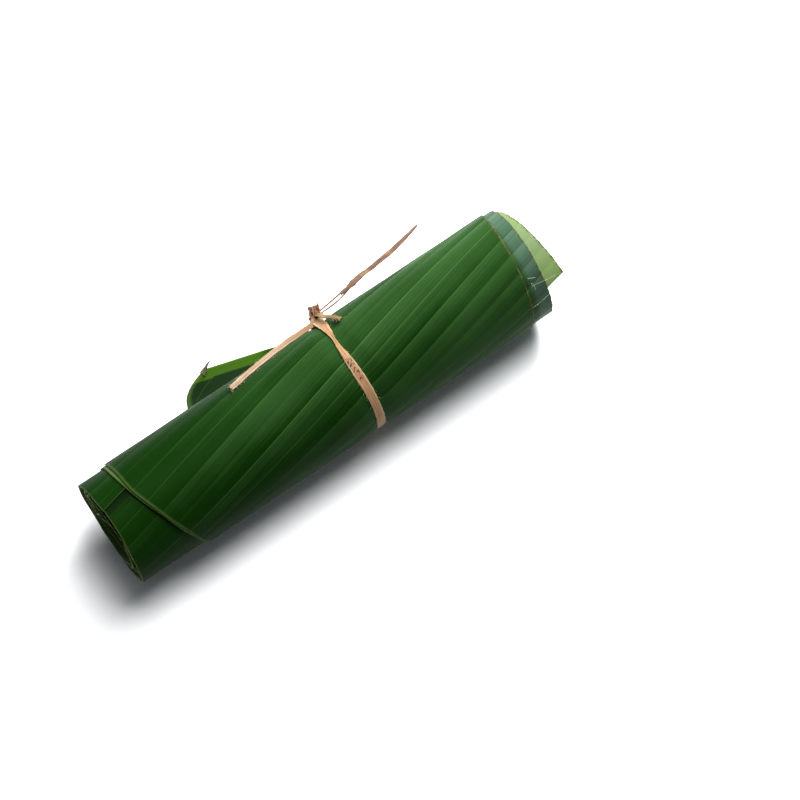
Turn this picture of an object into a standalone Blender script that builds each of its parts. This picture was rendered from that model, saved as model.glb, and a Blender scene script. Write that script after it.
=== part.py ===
"""A roll of banana leaf: four half-blade leaf sections rolled up together and tied with a dried strip.

The roll lies on its flattened underside along X, and +X is its stalk-side cut end.
Every ply follows one winding: psi is the angle wound inwards from the outer leaf's loose edge,
depth is how far below the roll's outer surface a ply's outer face lies, and a leaf's veins are
lines of one label, which climb round the roll as they run along it.
"""

import math

import bmesh
import bpy
from mathutils import Matrix, Vector

MM = 0.001
WELD = 0.000001
QUARTER_TURN = 90
FULL_TURN = 360

# The roll, in millimetres and degrees
ROLL_RADIUS = 37.5
PRESSED_FLAT = 1.0
AXIS_Y = -10.4
AXIS_Z = ROLL_RADIUS - PRESSED_FLAT
LOOSE_EDGE_ANGLE = 1.6
LOOSE_EDGE_X = -47.0

# Plies, with angles wound inwards counted in turns
LEAF_THICKNESS = 0.61
PLY_STEP = 0.92
PASSES_UNDER = (0.42, 1.0)
FOURTH_PASSES_UNDER = (0.42, 0.74)
TIGHT_TURNS = 1.42
CORE_LOOSENING = 4.0
CORE_PLY_GAP = 3.2
CORE_GAP_OPENS_BY = 0.5
CORE_SAG = 3.0
CORE_DEPTH = 24.0
TIGHT_DEPTHS = (5.0, 8.0)

# Where each leaf ends along the roll; labels are in degrees, tapers in mm for each radian wound
OUTER_LEFT = -136.8
OUTER_LEFT_TAPER = 13.2
TAPER_STARTS = 315
OUTER_LEFT_CORNER = (14, 27)
OUTER_RIGHT = 139.2
OUTER_RIGHT_TAPER = 4.4
RIGHT_TAPER_STARTS = 270
OUTER_RIGHT_CORNER = (8, 18)
SECOND_FIRST_LABEL = 9
SECOND_BEYOND_OUTER = 2.4
SECOND_INSIDE_AT_CORNER = 5.4
SECOND_RIGHT = 141.6
SECOND_RIGHT_SWELL = 3.4
SECOND_RIGHT_WIDEST = 225
CORE_LEFT = -154.3
CORE_LEFT_WAVE = 1.7
THIRD_RIGHT = 137
CORE_RIGHT_WAVE = 2.0
TONGUE_RIGHT = 156.0
TONGUE_LABEL = 135
TONGUE_FALLS = 4.42
TONGUE_FALLS_TO = 138.0

# Veins and the pleats between them
VEIN_ANGLE = 15.5
VEIN_TURN = math.tan(math.radians(VEIN_ANGLE)) / ROLL_RADIUS
PLEATS = 20
PLEAT_HEIGHT = 0.22
PLEATS_START_BESIDE_FOOT = (20, 38)
LABEL_STEP = FULL_TURN / PLEATS / 2
CORE_LABEL_STEP = 2 * LABEL_STEP
TIGHT_LABEL = 504

# The dried strip that ties the roll
TIE_X = 18.3
TIE_WIDTH = 6.0
TIE_THICKNESS = 0.8
CLEARANCE = 0.3
GROOVE_DEPTH = 1.4
GROOVE_HALF_WIDTH = 4.5
GROOVE_REACH = 16.0
TIE_STEP = 9
TIE_LIFTS_OVER = (348, 384)
KNOT_PSI = 354
KNOT_DEPTH = 0.1
KNOT_SIZE = 1.45
KNOT_HEIGHT = 1.3
KNOT_STRAND = 1.2
KNOT_STEPS = 48
KNOT_SIDES = 8
TAIL_STEPS = 12
TAIL_THICKNESS = 0.9

# Paths of what leaves the knot: psi, x, depth, and the half widths round the roll, along it and in depth
PALE_TAIL = [(352, 15.5, -2.2, 2.6, 0, 0), (342, 2, -2.6, 2.6, 0, 0), (332, -16, -1.2, 2.8, 0, 0),
             (322, -34, -0.9, 2.8, 0, 0), (312, -51, -1.8, 1.6, 0, 0)]
DARK_TAIL = [(353, 20, -2.6, 0, 0, 1.2), (352, 33, -3.2, 0, 0, 1.2), (351, 46, -5.4, 0, 0, 1.5),
             (351, 72, -9.2, 0, 0, 1.7), (351, 102, -14.4, 0, 0, 1.0)]
TUFT = [(354, TIE_X - 0.5, 0.6, 0, 2.6, 0), (353, TIE_X - 1, -4.0, 0, 2.4, 0),
        (354, TIE_X - 2, -8.4, 0, 1.2, 0)]

# The loose end, which springs away from the roll beside the tie
PEEL_STARTS = 77.6
PEEL_FULL_AT = 34.0
PEEL_FREE_AT = 4.0
PEEL_CURVATURE = 0.002

# Where the axial mesh lines lie between a leaf's two ends
STATIONS = [-130, -104, -76, -48, -22, -8, TIE_X - GROOVE_REACH, TIE_X - GROOVE_HALF_WIDTH,
            TIE_X + GROOVE_HALF_WIDTH, TIE_X + GROOVE_REACH, 60, 86, 110, 130]
LEAST_STATION_STEP = 4.0

DARK_GREEN = (0.017, 0.086, 0.015)
LEAF_ROUGHNESS = 0.35
STRAW = (0.50, 0.30, 0.13)
STRAW_ROUGHNESS = 0.75
SHARP_EDGES_FROM = 30


def smoothstep(low, high, value):
    share = min(1.0, max(0.0, (value - low) / (high - low)))
    return share * share * (3 - 2 * share)


def soft_ramp(value, softness=0.35):
    """Zero below zero, rising as value above it, with a rounded bend."""
    return 0.5 * (value + math.hypot(value, softness))


def wrap_depth(turns):
    """Depth of the outer leaf: level at first, then deep enough to pass under itself and its neighbour."""
    return 2 * PLY_STEP * smoothstep(*PASSES_UNDER, turns)


def second_depth(turns):
    return wrap_depth(turns) + PLY_STEP


def third_depth(turns):
    """The third leaf winds on into the core, where its turns loosen."""
    loose = max(0.0, turns - TIGHT_TURNS)
    return wrap_depth(turns) + 2 * PLY_STEP + CORE_LOOSENING * (loose + loose * loose)


def fourth_depth(turns):
    below_third = PLY_STEP * smoothstep(*FOURTH_PASSES_UNDER, turns)
    apart = CORE_PLY_GAP * smoothstep(TIGHT_TURNS, TIGHT_TURNS + CORE_GAP_OPENS_BY, turns)
    return third_depth(turns) + below_third + apart


def rounded_corner(label, corner):
    """How far a leaf's end draws back from its square corner, for a corner (reach, labels)."""
    reach, labels = corner
    return reach * max(0.0, 1 - label / labels) ** 2


def outer_leaf_left(label):
    """Natural margin: it narrows towards the leaf's tip, with a rounded corner at the loose edge."""
    taper = OUTER_LEFT_TAPER * soft_ramp(math.radians(TAPER_STARTS - label))
    return OUTER_LEFT + taper + rounded_corner(label, OUTER_LEFT_CORNER)


def outer_leaf_right(label):
    taper = OUTER_RIGHT_TAPER * math.radians(max(0.0, RIGHT_TAPER_STARTS - label))
    return OUTER_RIGHT - taper - rounded_corner(label, OUTER_RIGHT_CORNER)


def second_leaf_left(label):
    """Just beyond the outer leaf's margin, but inside it at the loose corner."""
    inside = SECOND_INSIDE_AT_CORNER * (1 - smoothstep(SECOND_FIRST_LABEL, QUARTER_TURN, label))
    return outer_leaf_left(max(0.0, label - SECOND_FIRST_LABEL)) - SECOND_BEYOND_OUTER + inside


def second_leaf_right(label):
    towards_widest = 0.5 + 0.5 * math.cos(math.radians(label - SECOND_RIGHT_WIDEST))
    return SECOND_RIGHT + SECOND_RIGHT_SWELL * towards_widest ** 2


def third_leaf_left(label):
    return CORE_LEFT + CORE_LEFT_WAVE * math.sin(math.radians(0.7 * label))


def third_leaf_right(label):
    return THIRD_RIGHT + CORE_RIGHT_WAVE * math.sin(math.radians(0.9 * label))


def fourth_leaf_left(label):
    return CORE_LEFT + CORE_LEFT_WAVE * math.cos(math.radians(0.8 * label))


def fourth_leaf_right(label):
    """Its tongue reaches furthest out of the roll, and then the edge falls back round the turn."""
    return max(TONGUE_FALLS_TO, TONGUE_RIGHT - TONGUE_FALLS * math.radians(label - TONGUE_LABEL))


# First and last vein label, depth, the two ends, and the two ends that the leaf's mesh lines keep to
OUTER_ENDS = (outer_leaf_left, outer_leaf_right)
SECOND_ENDS = (second_leaf_left, second_leaf_right)
THIRD_ENDS = (third_leaf_left, third_leaf_right)
FOURTH_ENDS = (fourth_leaf_left, fourth_leaf_right)
LEAVES = {
    "leaf_outer": (0, 387, wrap_depth, OUTER_ENDS, OUTER_ENDS),
    "leaf_second": (SECOND_FIRST_LABEL, 423, second_depth, SECOND_ENDS, OUTER_ENDS),
    "leaf_third": (324, 1152, third_depth, THIRD_ENDS, THIRD_ENDS),
    "leaf_fourth": (TONGUE_LABEL, 1116, fourth_depth, FOURTH_ENDS, FOURTH_ENDS),
}


def groove(x):
    """How far the tie draws every ply in."""
    return GROOVE_DEPTH * (1 - smoothstep(GROOVE_HALF_WIDTH, GROOVE_REACH, abs(x - TIE_X)))


def pleat(psi, x):
    """Height of the pleats, one pattern for every turn so that the plies nest, level at the underside."""
    label = psi - math.degrees(VEIN_TURN * (x - LOOSE_EDGE_X))
    zigzag = abs((label / (2 * LABEL_STEP)) % 1.0 - 0.5) * 4 - 1
    half_turn = FULL_TURN / 2
    from_underside = abs((LOOSE_EDGE_ANGLE - psi + QUARTER_TURN + half_turn) % FULL_TURN - half_turn)
    under_tie = groove(x) / GROOVE_DEPTH
    return PLEAT_HEIGHT * zigzag * smoothstep(*PLEATS_START_BESIDE_FOOT, from_underside) * (1 - under_tie)


def peel_share(x):
    return smoothstep(TIE_X - PEEL_FREE_AT, TIE_X - PEEL_FULL_AT, x)


def roll_point(psi, x, depth):
    """The point in metres at winding angle psi in degrees, x along the roll, depth below its outer surface."""
    if psi < PEEL_STARTS:
        return peeled_point(psi, x, depth)
    beta = math.radians(LOOSE_EDGE_ANGLE - psi)
    radius = ROLL_RADIUS - depth
    downwards = -math.sin(beta)
    if downwards > 0:
        radius = min(radius, (AXIS_Z - depth) / downwards)
    sag = CORE_SAG * (max(0.0, depth) / CORE_DEPTH) ** 2
    y = AXIS_Y + radius * math.cos(beta)
    z = AXIS_Z + radius * math.sin(beta) - sag
    return Vector((x, y, z)) * MM


def peeled_point(psi, x, depth):
    """Where the loose end leaves the roll on a flatter curve, beside the tie that holds it down."""
    start = math.radians(LOOSE_EDGE_ANGLE - PEEL_STARTS)
    along = ROLL_RADIUS * math.radians(PEEL_STARTS - psi)
    share = peel_share(x)
    curvature = (1 - share) / ROLL_RADIUS + share * PEEL_CURVATURE
    turned = curvature * along
    tangent = Vector((0, -math.sin(start), math.cos(start)))
    inward = Vector((0, -math.cos(start), -math.sin(start)))
    base = Vector((x, AXIS_Y, AXIS_Z)) - ROLL_RADIUS * inward
    base += (math.sin(turned) * tangent + (1 - math.cos(turned)) * inward) / curvature
    normal = math.cos(turned) * inward - math.sin(turned) * tangent
    return (base + depth * normal) * MM


def labels_of(first, last):
    """Mesh lines along the veins: one on each ridge and valley, and wider apart in the smooth core."""
    labels = [first]
    while labels[-1] < last:
        step = LABEL_STEP if labels[-1] < TIGHT_LABEL else CORE_LABEL_STEP
        labels.append(min(last, labels[-1] + step))
    return labels


def stations_of(label, ends, kept_to):
    """Mesh lines across the veins: the leaf's own two ends, and places between that nested plies share."""
    left, right = (end(label) for end in ends)
    kept_left, kept_right = (end(label) for end in kept_to)
    inner = []
    for k, x in enumerate(STATIONS):
        least = kept_left + LEAST_STATION_STEP * (k + 1)
        most = kept_right - LEAST_STATION_STEP * (len(STATIONS) - k)
        inner.append(min(max(x, least), most))
    return [left, *inner, right]


def material(name, colour, roughness):
    made = bpy.data.materials.new(name)
    made.use_nodes = True
    shader = made.node_tree.nodes["Principled BSDF"]
    shader.inputs["Base Color"].default_value = (*colour, 1)
    shader.inputs["Roughness"].default_value = roughness
    shader.inputs["Metallic"].default_value = 0
    return made


def new_object(name, bm, collection, finish):
    mesh = bpy.data.meshes.new(name)
    bm.to_mesh(mesh)
    bm.free()
    mesh.materials.append(finish)
    obj = bpy.data.objects.new(name, mesh)
    collection.objects.link(obj)
    return obj


def thicken(obj, thickness):
    """Splits the sheet into triangles alike on both faces, then gives it its thickness."""
    obj.modifiers.new("Triangles", "TRIANGULATE")
    wall = obj.modifiers.new("Thickness", "SOLIDIFY")
    wall.thickness = thickness * MM
    wall.offset = 0
    wall.use_rim = True


def sheet_of(rows):
    """A grid whose points are moved to the given rows of points."""
    bm = bmesh.new()
    across, along = len(rows) - 1, len(rows[0]) - 1
    bmesh.ops.create_grid(bm, x_segments=across, y_segments=along, size=0.5)
    for vert in bm.verts:
        row = round((vert.co.x + 0.5) * across)
        column = round((vert.co.y + 0.5) * along)
        vert.co = rows[row][column]
    return bm


def spun_tube(points, radius, sides):
    """A closed tube of round section round a closed loop of points."""
    count = len(points)
    rows = []
    for k in range(count + 1):
        centre = points[k % count]
        ahead = (points[(k + 1) % count] - points[(k - 1) % count]).normalized()
        side = ahead.cross(Vector((0, 0, 1))).normalized()
        upwards = side.cross(ahead)
        turns = [2 * math.pi * j / sides for j in range(sides + 1)]
        rows.append([centre + radius * (math.cos(t) * side + math.sin(t) * upwards) for t in turns])
    bm = sheet_of(rows)
    bmesh.ops.remove_doubles(bm, verts=bm.verts, dist=WELD)
    bmesh.ops.recalc_face_normals(bm, faces=bm.faces)
    return bm


def between(keys, share):
    """The value at a share of the way along a list of keys."""
    place = share * (len(keys) - 1)
    k = min(int(place), len(keys) - 2)
    part = place - k
    return [a + (b - a) * part for a, b in zip(keys[k], keys[k + 1])]


def strip_along(keys):
    rows = []
    for k in range(TAIL_STEPS + 1):
        psi, x, depth, half_psi, half_x, half_depth = between(keys, k / TAIL_STEPS)
        sides = [-1, 1]
        rows.append([roll_point(psi + s * half_psi, x + s * half_x, depth + s * half_depth) for s in sides])
    return sheet_of(rows)


def tie_band():
    """The strip's turn round the roll, lifted over the step at the outer leaf's loose edge."""
    edge_psi = math.degrees(VEIN_TURN * (TIE_X - LOOSE_EDGE_X))
    seat = GROOVE_DEPTH - CLEARANCE - TIE_THICKNESS / 2
    rows = []
    for step in range(0, FULL_TURN + TIE_STEP, TIE_STEP):
        psi = edge_psi + step
        lifted = smoothstep(*TIE_LIFTS_OVER, psi)
        depth = seat + (1 - lifted) * wrap_depth(psi / FULL_TURN)
        rows.append([roll_point(psi, TIE_X + s * TIE_WIDTH / 2, depth) for s in (-1, 1)])
    rows[-1] = rows[0]
    bm = sheet_of(rows)
    bmesh.ops.remove_doubles(bm, verts=bm.verts, dist=WELD)
    return bm


def knot():
    """A flat overhand knot lying on the band."""
    beta = math.radians(LOOSE_EDGE_ANGLE - KNOT_PSI)
    outward = Vector((0, math.cos(beta), math.sin(beta)))
    onward = Vector((0, math.sin(beta), -math.cos(beta)))
    centre = roll_point(KNOT_PSI, TIE_X, KNOT_DEPTH)
    place = Matrix((Vector((1, 0, 0)), onward, outward)).transposed()
    loop = []
    for k in range(KNOT_STEPS):
        t = 2 * math.pi * k / KNOT_STEPS
        flat_x = KNOT_SIZE * (math.sin(t) + 2 * math.sin(2 * t))
        flat_y = KNOT_SIZE * (math.cos(t) - 2 * math.cos(2 * t))
        loop.append(Vector((flat_x, flat_y, -KNOT_HEIGHT * math.sin(3 * t))) * MM)
    bm = spun_tube(loop, KNOT_STRAND * MM, KNOT_SIDES)
    bm.transform(Matrix.Translation(centre) @ place.to_4x4())
    return bm


def tie(collection, tools, finish):
    band = new_object("tie", tie_band(), collection, finish)
    thicken(band, TIE_THICKNESS)
    added = {"tie_knot": knot()}
    for name, keys in {"tie_pale_tail": PALE_TAIL, "tie_dark_tail": DARK_TAIL, "tie_tuft": TUFT}.items():
        added[name] = strip_along(keys)
    for name, bm in added.items():
        piece = new_object(name, bm, tools, finish)
        if name != "tie_knot":
            thicken(piece, TAIL_THICKNESS)
        piece.hide_render = True
        piece.display_type = "WIRE"
        join = band.modifiers.new(name, "BOOLEAN")
        join.operation = "UNION"
        join.solver = "MANIFOLD" if name == "tie_tuft" else "EXACT"
        join.object = piece


def rolled_leaf(name, collection, finish):
    first, last, depth_of, ends, kept_to = LEAVES[name]
    rows = []
    for label in labels_of(first, last):
        row = []
        for x in stations_of(label, ends, kept_to):
            psi = label + math.degrees(VEIN_TURN * (x - LOOSE_EDGE_X))
            depth = depth_of(psi / FULL_TURN)
            in_tight_plies = 1 - smoothstep(*TIGHT_DEPTHS, depth)
            shift = in_tight_plies * (groove(x) - pleat(psi, x))
            row.append(roll_point(psi, x, depth + LEAF_THICKNESS / 2 + shift))
        rows.append(row)
    leaf = new_object(name, sheet_of(rows), collection, finish)
    thicken(leaf, LEAF_THICKNESS)
    leaf.data.shade_smooth()
    leaf.data.set_sharp_from_angle(angle=math.radians(SHARP_EDGES_FROM))
    return leaf


def build():
    for obj in list(bpy.data.objects):
        bpy.data.objects.remove(obj)
    roll = bpy.data.collections.new("banana_leaf_roll")
    bpy.context.scene.collection.children.link(roll)
    tools = bpy.data.collections.new("tie_joined_pieces")
    bpy.context.scene.collection.children.link(tools)
    leaf_green = material("leaf_green", DARK_GREEN, LEAF_ROUGHNESS)
    dried_strip = material("dried_strip", STRAW, STRAW_ROUGHNESS)
    for name in LEAVES:
        rolled_leaf(name, roll, leaf_green)
    tie(roll, tools, dried_strip)


build()
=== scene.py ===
"""A roll of banana leaf tied round with a dried strip: its looks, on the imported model.

Every leaf lies on one winding. psi is the angle wound inwards from the outer leaf's loose edge, depth is how far
under the roll's outer surface a face lies, and label is the angle at which a vein crosses the loose corner, so a
vein is a line of one label. Lengths on the winding are millimetres and angles are degrees. Lengths inside a node
tree are metres.
"""

import math

import bmesh
import bpy
import numpy as np
from mathutils import Matrix, Vector

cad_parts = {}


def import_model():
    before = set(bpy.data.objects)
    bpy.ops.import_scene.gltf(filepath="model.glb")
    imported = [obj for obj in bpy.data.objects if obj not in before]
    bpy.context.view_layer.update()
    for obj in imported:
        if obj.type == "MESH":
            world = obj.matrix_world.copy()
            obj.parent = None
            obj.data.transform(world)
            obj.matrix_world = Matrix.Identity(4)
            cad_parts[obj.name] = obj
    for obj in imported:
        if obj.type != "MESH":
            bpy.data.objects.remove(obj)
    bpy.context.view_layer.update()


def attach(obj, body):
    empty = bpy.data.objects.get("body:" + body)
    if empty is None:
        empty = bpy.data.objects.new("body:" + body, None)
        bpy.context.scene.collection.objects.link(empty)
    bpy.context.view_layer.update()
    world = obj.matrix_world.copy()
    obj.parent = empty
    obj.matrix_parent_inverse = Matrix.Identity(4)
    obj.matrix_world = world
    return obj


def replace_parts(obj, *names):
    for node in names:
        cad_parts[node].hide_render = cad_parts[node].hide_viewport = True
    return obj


MM = 0.001

# The winding, as the part's source has it
ROLL_RADIUS = 37.5
AXIS_Y = -10.4
AXIS_Z = 36.5
SAG, SAG_DEPTH = 3.0, 24.0
LOOSE_EDGE_ANGLE = 1.6
LOOSE_EDGE_X = -47.0
LOOSE_CURVATURE = 0.002
VEIN_TURN = math.tan(math.radians(15.5)) / ROLL_RADIUS
PLY_STEP = 0.92
STACK_STARTS, STACK_WHOLE = 0.42, 1.0
PLEAT_LABELS = 18.0
PLEATS_ROUND = 20
TIGHT_TURNS = 1.42
TIGHT_LABEL = 504.0
CORE_SPREAD, CORE_GAP = 4.0, 3.2
TIE_X = 18.3
GROOVE_DEPTH = 1.4
PEEL_STARTS = 77.6
PEEL_FREE_AT = 4.0
PEEL_FULL_AT = 34.0

# The leaves' ends along the roll, as the part's source has them
OUTER_LEFT_X, OUTER_RIGHT_X = -136.8, 139.2
MARGIN_SLANT, MARGIN_BEND = 13.2, 315
CUT_SLANT, CUT_BEND = 4.4, 270
SECOND_FIRST, SECOND_TUCK, SECOND_BEYOND = 9, 5.4, 2.4
SECOND_RIGHT_X, SECOND_BULGE, BULGE_LABEL = 141.6, 3.4, 225
CORE_LEFT_X, CORE_LEFT_WAVE = -154.3, 1.7
THIRD_FIRST, THIRD_RIGHT_X, THIRD_RIGHT_WAVE = 324, 137, 2.0
FOURTH_FIRST, FOURTH_RIGHT_X = 135, 138
TONGUE_TIP_X, TONGUE_SLANT = 156, 4.42

# What this script refines
BLADE_THICKNESS = 0.42
PLEAT_HEIGHT = 0.21
TONGUE_PLEAT_HEIGHT = 0.09
RIPPLE_HEIGHT = 0.12
CORE_RUFFLE = 0.55
CUT_RAGGED = 0.45
MARGIN_WAVE = 0.5
FINE_LABELS = 1.5
CORE_LABELS = 3.0
STATION_STEP = 4.6
PLEAT_VALUES = "pleat_phase", "pleat_share", "ripple_share", "across", "along"
END_STATIONS = np.array([1.0, 2.6])
GROOVE_SHIFT, GROOVE_HALF, GROOVE_OUT = -0.8, 4.6, 8.6
STRIP_THICKNESS = 0.34

# Places on a blade where its finish changes, in metres: along the roll, round it, or in from the cut
PLEAT_PITCH = math.radians(PLEAT_LABELS) * ROLL_RADIUS * MM
STEP_ARC = math.radians(THIRD_FIRST) * ROLL_RADIUS * MM
# Along the roll: the left stretch where painted shade darkens the blades and fades their ribs, and the right
# stretch where painted light brightens them
LEFT_SHADE_STRETCH = (-0.14, 0.03)
RIGHT_LIGHT_STRETCH = (0.03, 0.13)
# Round the blade: the strip along the loose edge that gets a painted backlight
LOOSE_BACKLIT_STRIP = (0.0062, 0.0074)
LOOSE_RIM = (0.03, 0.045)
# Round the blade: the tongue's low corner that gets painted light
LIT_CORNER_ARC = (0.086, 0.122)
CUT_STAIN = (0.0004, 0.0018)

# What moves a blade's tone from deep towards light. The share below each rib is painted light: each pleat is
# lighter just below its rib
BASE_TONE, PLEAT_TONE, BELOW_RIB_LIGHT = 0.07, 0.42, 0.3
STREAK_TONE, PATCH_TONE = 0.9, 0.8

# Sizes of noise, for each metre
PATCH_SCALE, SPECK_SCALE = 20.0, 700.0
SWAY_SCALE, SWAY_STRETCH = 55.0, 0.25
STREAK_SCALE, STREAK_STRETCH = 650.0, 0.012
RIM_SCALE = 420.0
STRIP_FIBRE_SCALE, STRIP_FIBRE_STRETCH = 1500.0, 0.045
STAIN_SCALE, SPOT_SCALE = 110.0, 620.0
LOOSE_FIBRE_SCALE = 260.0

# Leaf and strip colours, linear
DEEP_GREEN = (0.0025, 0.0165, 0.0009)
LEAF_GREEN = (0.0155, 0.046, 0.0105)
WAX_TINT = (0.55, 1.0, 0.42, 1.0)
RIB_GREEN = (0.05, 0.115, 0.03)
# The second leaf's end by its cut: a bluish green that is partly its own colour and partly a painted sheen
BLUE_GREEN_DEEP = (0.013, 0.034, 0.018)
BLUE_GREEN = (0.046, 0.082, 0.055)
# Painted shade: the outer two leaves' undersides get darker greens than their tops
UNDER_SHADED_DEEP = (0.005, 0.015, 0.004)
UNDER_SHADED_GREEN = (0.014, 0.034, 0.009)
STEP_SHADE = (0.0015, 0.005, 0.0008)
# Painted light: the core leaves' undersides get paler greens, as if lit through the open end
PALE_LIT_DEEP = (0.014, 0.042, 0.007)
PALE_LIT_GREEN = (0.105, 0.165, 0.055)
# Painted light: the fourth leaf's tongue past the roll's end is pale, as if lit through from behind, and paler
# still at its low corner
TONGUE_BACKLIT_GREEN = (0.088, 0.136, 0.046)
TONGUE_BACKLIT_PALE = (0.106, 0.142, 0.074)
TONGUE_CORNER_LIGHT = (0.175, 0.275, 0.085)
# Painted light: the loose strip's underside, as if lit through from behind
FLAP_BACKLIT_GREEN = (0.03, 0.078, 0.005)
MARGIN_GREEN = (0.072, 0.12, 0.03)
RIM_GREEN = (0.25, 0.29, 0.11)
CUT_TAN = (0.15, 0.125, 0.045)
BROWN = (0.045, 0.028, 0.01)
STRAW = (0.335, 0.192, 0.082)
STRAW_DEEP = (0.17, 0.088, 0.036)
PALE_STRAW = (0.3, 0.24, 0.16)
PALE_STRAW_DEEP = (0.17, 0.095, 0.05)
KNOT_STRAW = (0.155, 0.078, 0.029)
CREASE_SHADE = (0.1, 0.048, 0.022)
SPOT_BROWN = (0.022, 0.01, 0.004)
RED_BROWN = (0.2, 0.078, 0.035)


def smoothstep(low, high, value):
    share = np.clip((value - low) / (high - low), 0, 1)
    return share * share * (3 - 2 * share)


def unit(vectors):
    return vectors / np.linalg.norm(vectors, axis=-1, keepdims=True)


def soft_ramp(value, softness=0.35):
    return 0.5 * (value + np.hypot(value, softness))


# ---- The winding ----


def wrap_depth(turns):
    return 2 * PLY_STEP * smoothstep(STACK_STARTS, STACK_WHOLE, turns)


def second_depth(turns):
    return wrap_depth(turns) + PLY_STEP


def third_depth(turns):
    loose = np.maximum(0, turns - TIGHT_TURNS)
    return wrap_depth(turns) + 2 * PLY_STEP + CORE_SPREAD * (loose + loose * loose)


def fourth_depth(turns):
    under_third = PLY_STEP * smoothstep(STACK_STARTS, 0.74, turns)
    apart = CORE_GAP * smoothstep(TIGHT_TURNS, TIGHT_TURNS + 0.5, turns)
    return third_depth(turns) + under_third + apart


def rounded_corner(label, reach, labels):
    return reach * np.maximum(0, 1 - label / labels) ** 2


def outer_left(label):
    slant = MARGIN_SLANT * soft_ramp(np.radians(MARGIN_BEND - label))
    return OUTER_LEFT_X + slant + rounded_corner(label, reach=14, labels=27)


def outer_right(label):
    slant = CUT_SLANT * np.radians(np.maximum(0, CUT_BEND - label))
    return OUTER_RIGHT_X - slant - rounded_corner(label, reach=8, labels=18)


def second_left(label):
    tucked = SECOND_TUCK * (1 - smoothstep(SECOND_FIRST, 90, label))
    return outer_left(np.maximum(0, label - SECOND_FIRST)) - SECOND_BEYOND + tucked


def second_right(label):
    return SECOND_RIGHT_X + SECOND_BULGE * (0.5 + 0.5 * np.cos(np.radians(label - BULGE_LABEL))) ** 2


def third_left(label):
    return CORE_LEFT_X + CORE_LEFT_WAVE * np.sin(np.radians(0.7 * label))


def third_right(label):
    return THIRD_RIGHT_X + THIRD_RIGHT_WAVE * np.sin(np.radians(0.9 * label))


def fourth_left(label):
    return CORE_LEFT_X + CORE_LEFT_WAVE * np.cos(np.radians(0.8 * label))


def fourth_right(label):
    return np.maximum(FOURTH_RIGHT_X, TONGUE_TIP_X - TONGUE_SLANT * np.radians(label - FOURTH_FIRST))


# First and last label, depth, left end and right end of each leaf
LEAVES = {
    "leaf_outer": (0, 387, wrap_depth, outer_left, outer_right),
    "leaf_second": (SECOND_FIRST, 423, second_depth, second_left, second_right),
    "leaf_third": (THIRD_FIRST, 1152, third_depth, third_left, third_right),
    "leaf_fourth": (FOURTH_FIRST, 1116, fourth_depth, fourth_left, fourth_right),
}


def groove(x):
    return GROOVE_DEPTH * (1 - smoothstep(GROOVE_HALF, GROOVE_OUT, np.abs(x - TIE_X - GROOVE_SHIFT)))


def roll_points(psi, x, depth):
    """Points in metres on the winding: round the roll, or on the loose end where it springs away."""
    psi, x, depth = np.broadcast_arrays(np.asarray(psi, float), x, depth)
    beta = np.radians(LOOSE_EDGE_ANGLE - psi)
    downwards = np.maximum(-np.sin(beta), 0.001)
    above_floor = np.where(np.sin(beta) < 0, (AXIS_Z - depth) / downwards, np.inf)
    radius = np.minimum(ROLL_RADIUS - depth, above_floor)
    sag = SAG * (np.maximum(0, depth) / SAG_DEPTH) ** 2
    y = AXIS_Y + radius * np.cos(beta)
    z = AXIS_Z + radius * np.sin(beta) - sag

    start = math.radians(LOOSE_EDGE_ANGLE - PEEL_STARTS)
    along = ROLL_RADIUS * np.radians(PEEL_STARTS - psi)
    peel = smoothstep(TIE_X - PEEL_FREE_AT, TIE_X - PEEL_FULL_AT, x)
    curvature = (1 - peel) / ROLL_RADIUS + peel * LOOSE_CURVATURE
    turned = curvature * along
    tangent = -math.sin(start), math.cos(start)
    inward = -math.cos(start), -math.sin(start)
    forth = np.sin(turned) / curvature - depth * np.sin(turned)
    back = (1 - np.cos(turned)) / curvature + depth * np.cos(turned)
    loose_y, loose_z = (axis - ROLL_RADIUS * inward[k] + forth * tangent[k] + back * inward[k]
                        for k, axis in enumerate((AXIS_Y, AXIS_Z)))
    loose = psi < PEEL_STARTS
    return np.stack((x, np.where(loose, loose_y, y), np.where(loose, loose_z, z)), axis=-1) * MM


def outward_of(psi, x, depth):
    """Unit vectors away from the roll's axis."""
    ahead = roll_points(psi, x, np.asarray(depth) - 0.05) - roll_points(psi, x, np.asarray(depth) + 0.05)
    return unit(ahead)


# ---- Node helpers ----


def feed(tree, made, inputs):
    """Links a node's inputs from sockets, or sets them to values."""
    for key, value in inputs.items():
        if isinstance(value, bpy.types.NodeSocket):
            tree.links.new(value, made.inputs[key])
        else:
            made.inputs[key].default_value = value


def add(tree, kind, inputs=None, **settings):
    """A new node with its settings and inputs."""
    made = tree.nodes.new(kind)
    for key, value in settings.items():
        setattr(made, key, value)
    feed(tree, made, inputs or {})
    return made


def first(tree, kind, inputs=None, **settings):
    """The first output of a new node."""
    return add(tree, kind, inputs, **settings).outputs[0]


def tree_of(*values):
    """The tree of the first socket among some values."""
    return next(value.id_data for value in values if isinstance(value, bpy.types.NodeSocket))


def calc(operation, *values, clamp=False):
    return first(tree_of(*values), "ShaderNodeMath", dict(enumerate(values)), operation=operation, use_clamp=clamp)


def times(one, other):
    return calc("MULTIPLY", one, other)


def plus(base, value, share):
    """The base and a share of a value."""
    return calc("MULTIPLY_ADD", value, share, base)


def split(vector):
    """The X, Y and Z of a vector."""
    return add(vector.id_data, "ShaderNodeSeparateXYZ", {0: vector}).outputs


def joined(**parts):
    return first(tree_of(*parts.values()), "ShaderNodeCombineXYZ", parts)


def scaled(vector, factor):
    return first(vector.id_data, "ShaderNodeVectorMath", {0: vector, "Scale": factor}, operation="SCALE")


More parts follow.
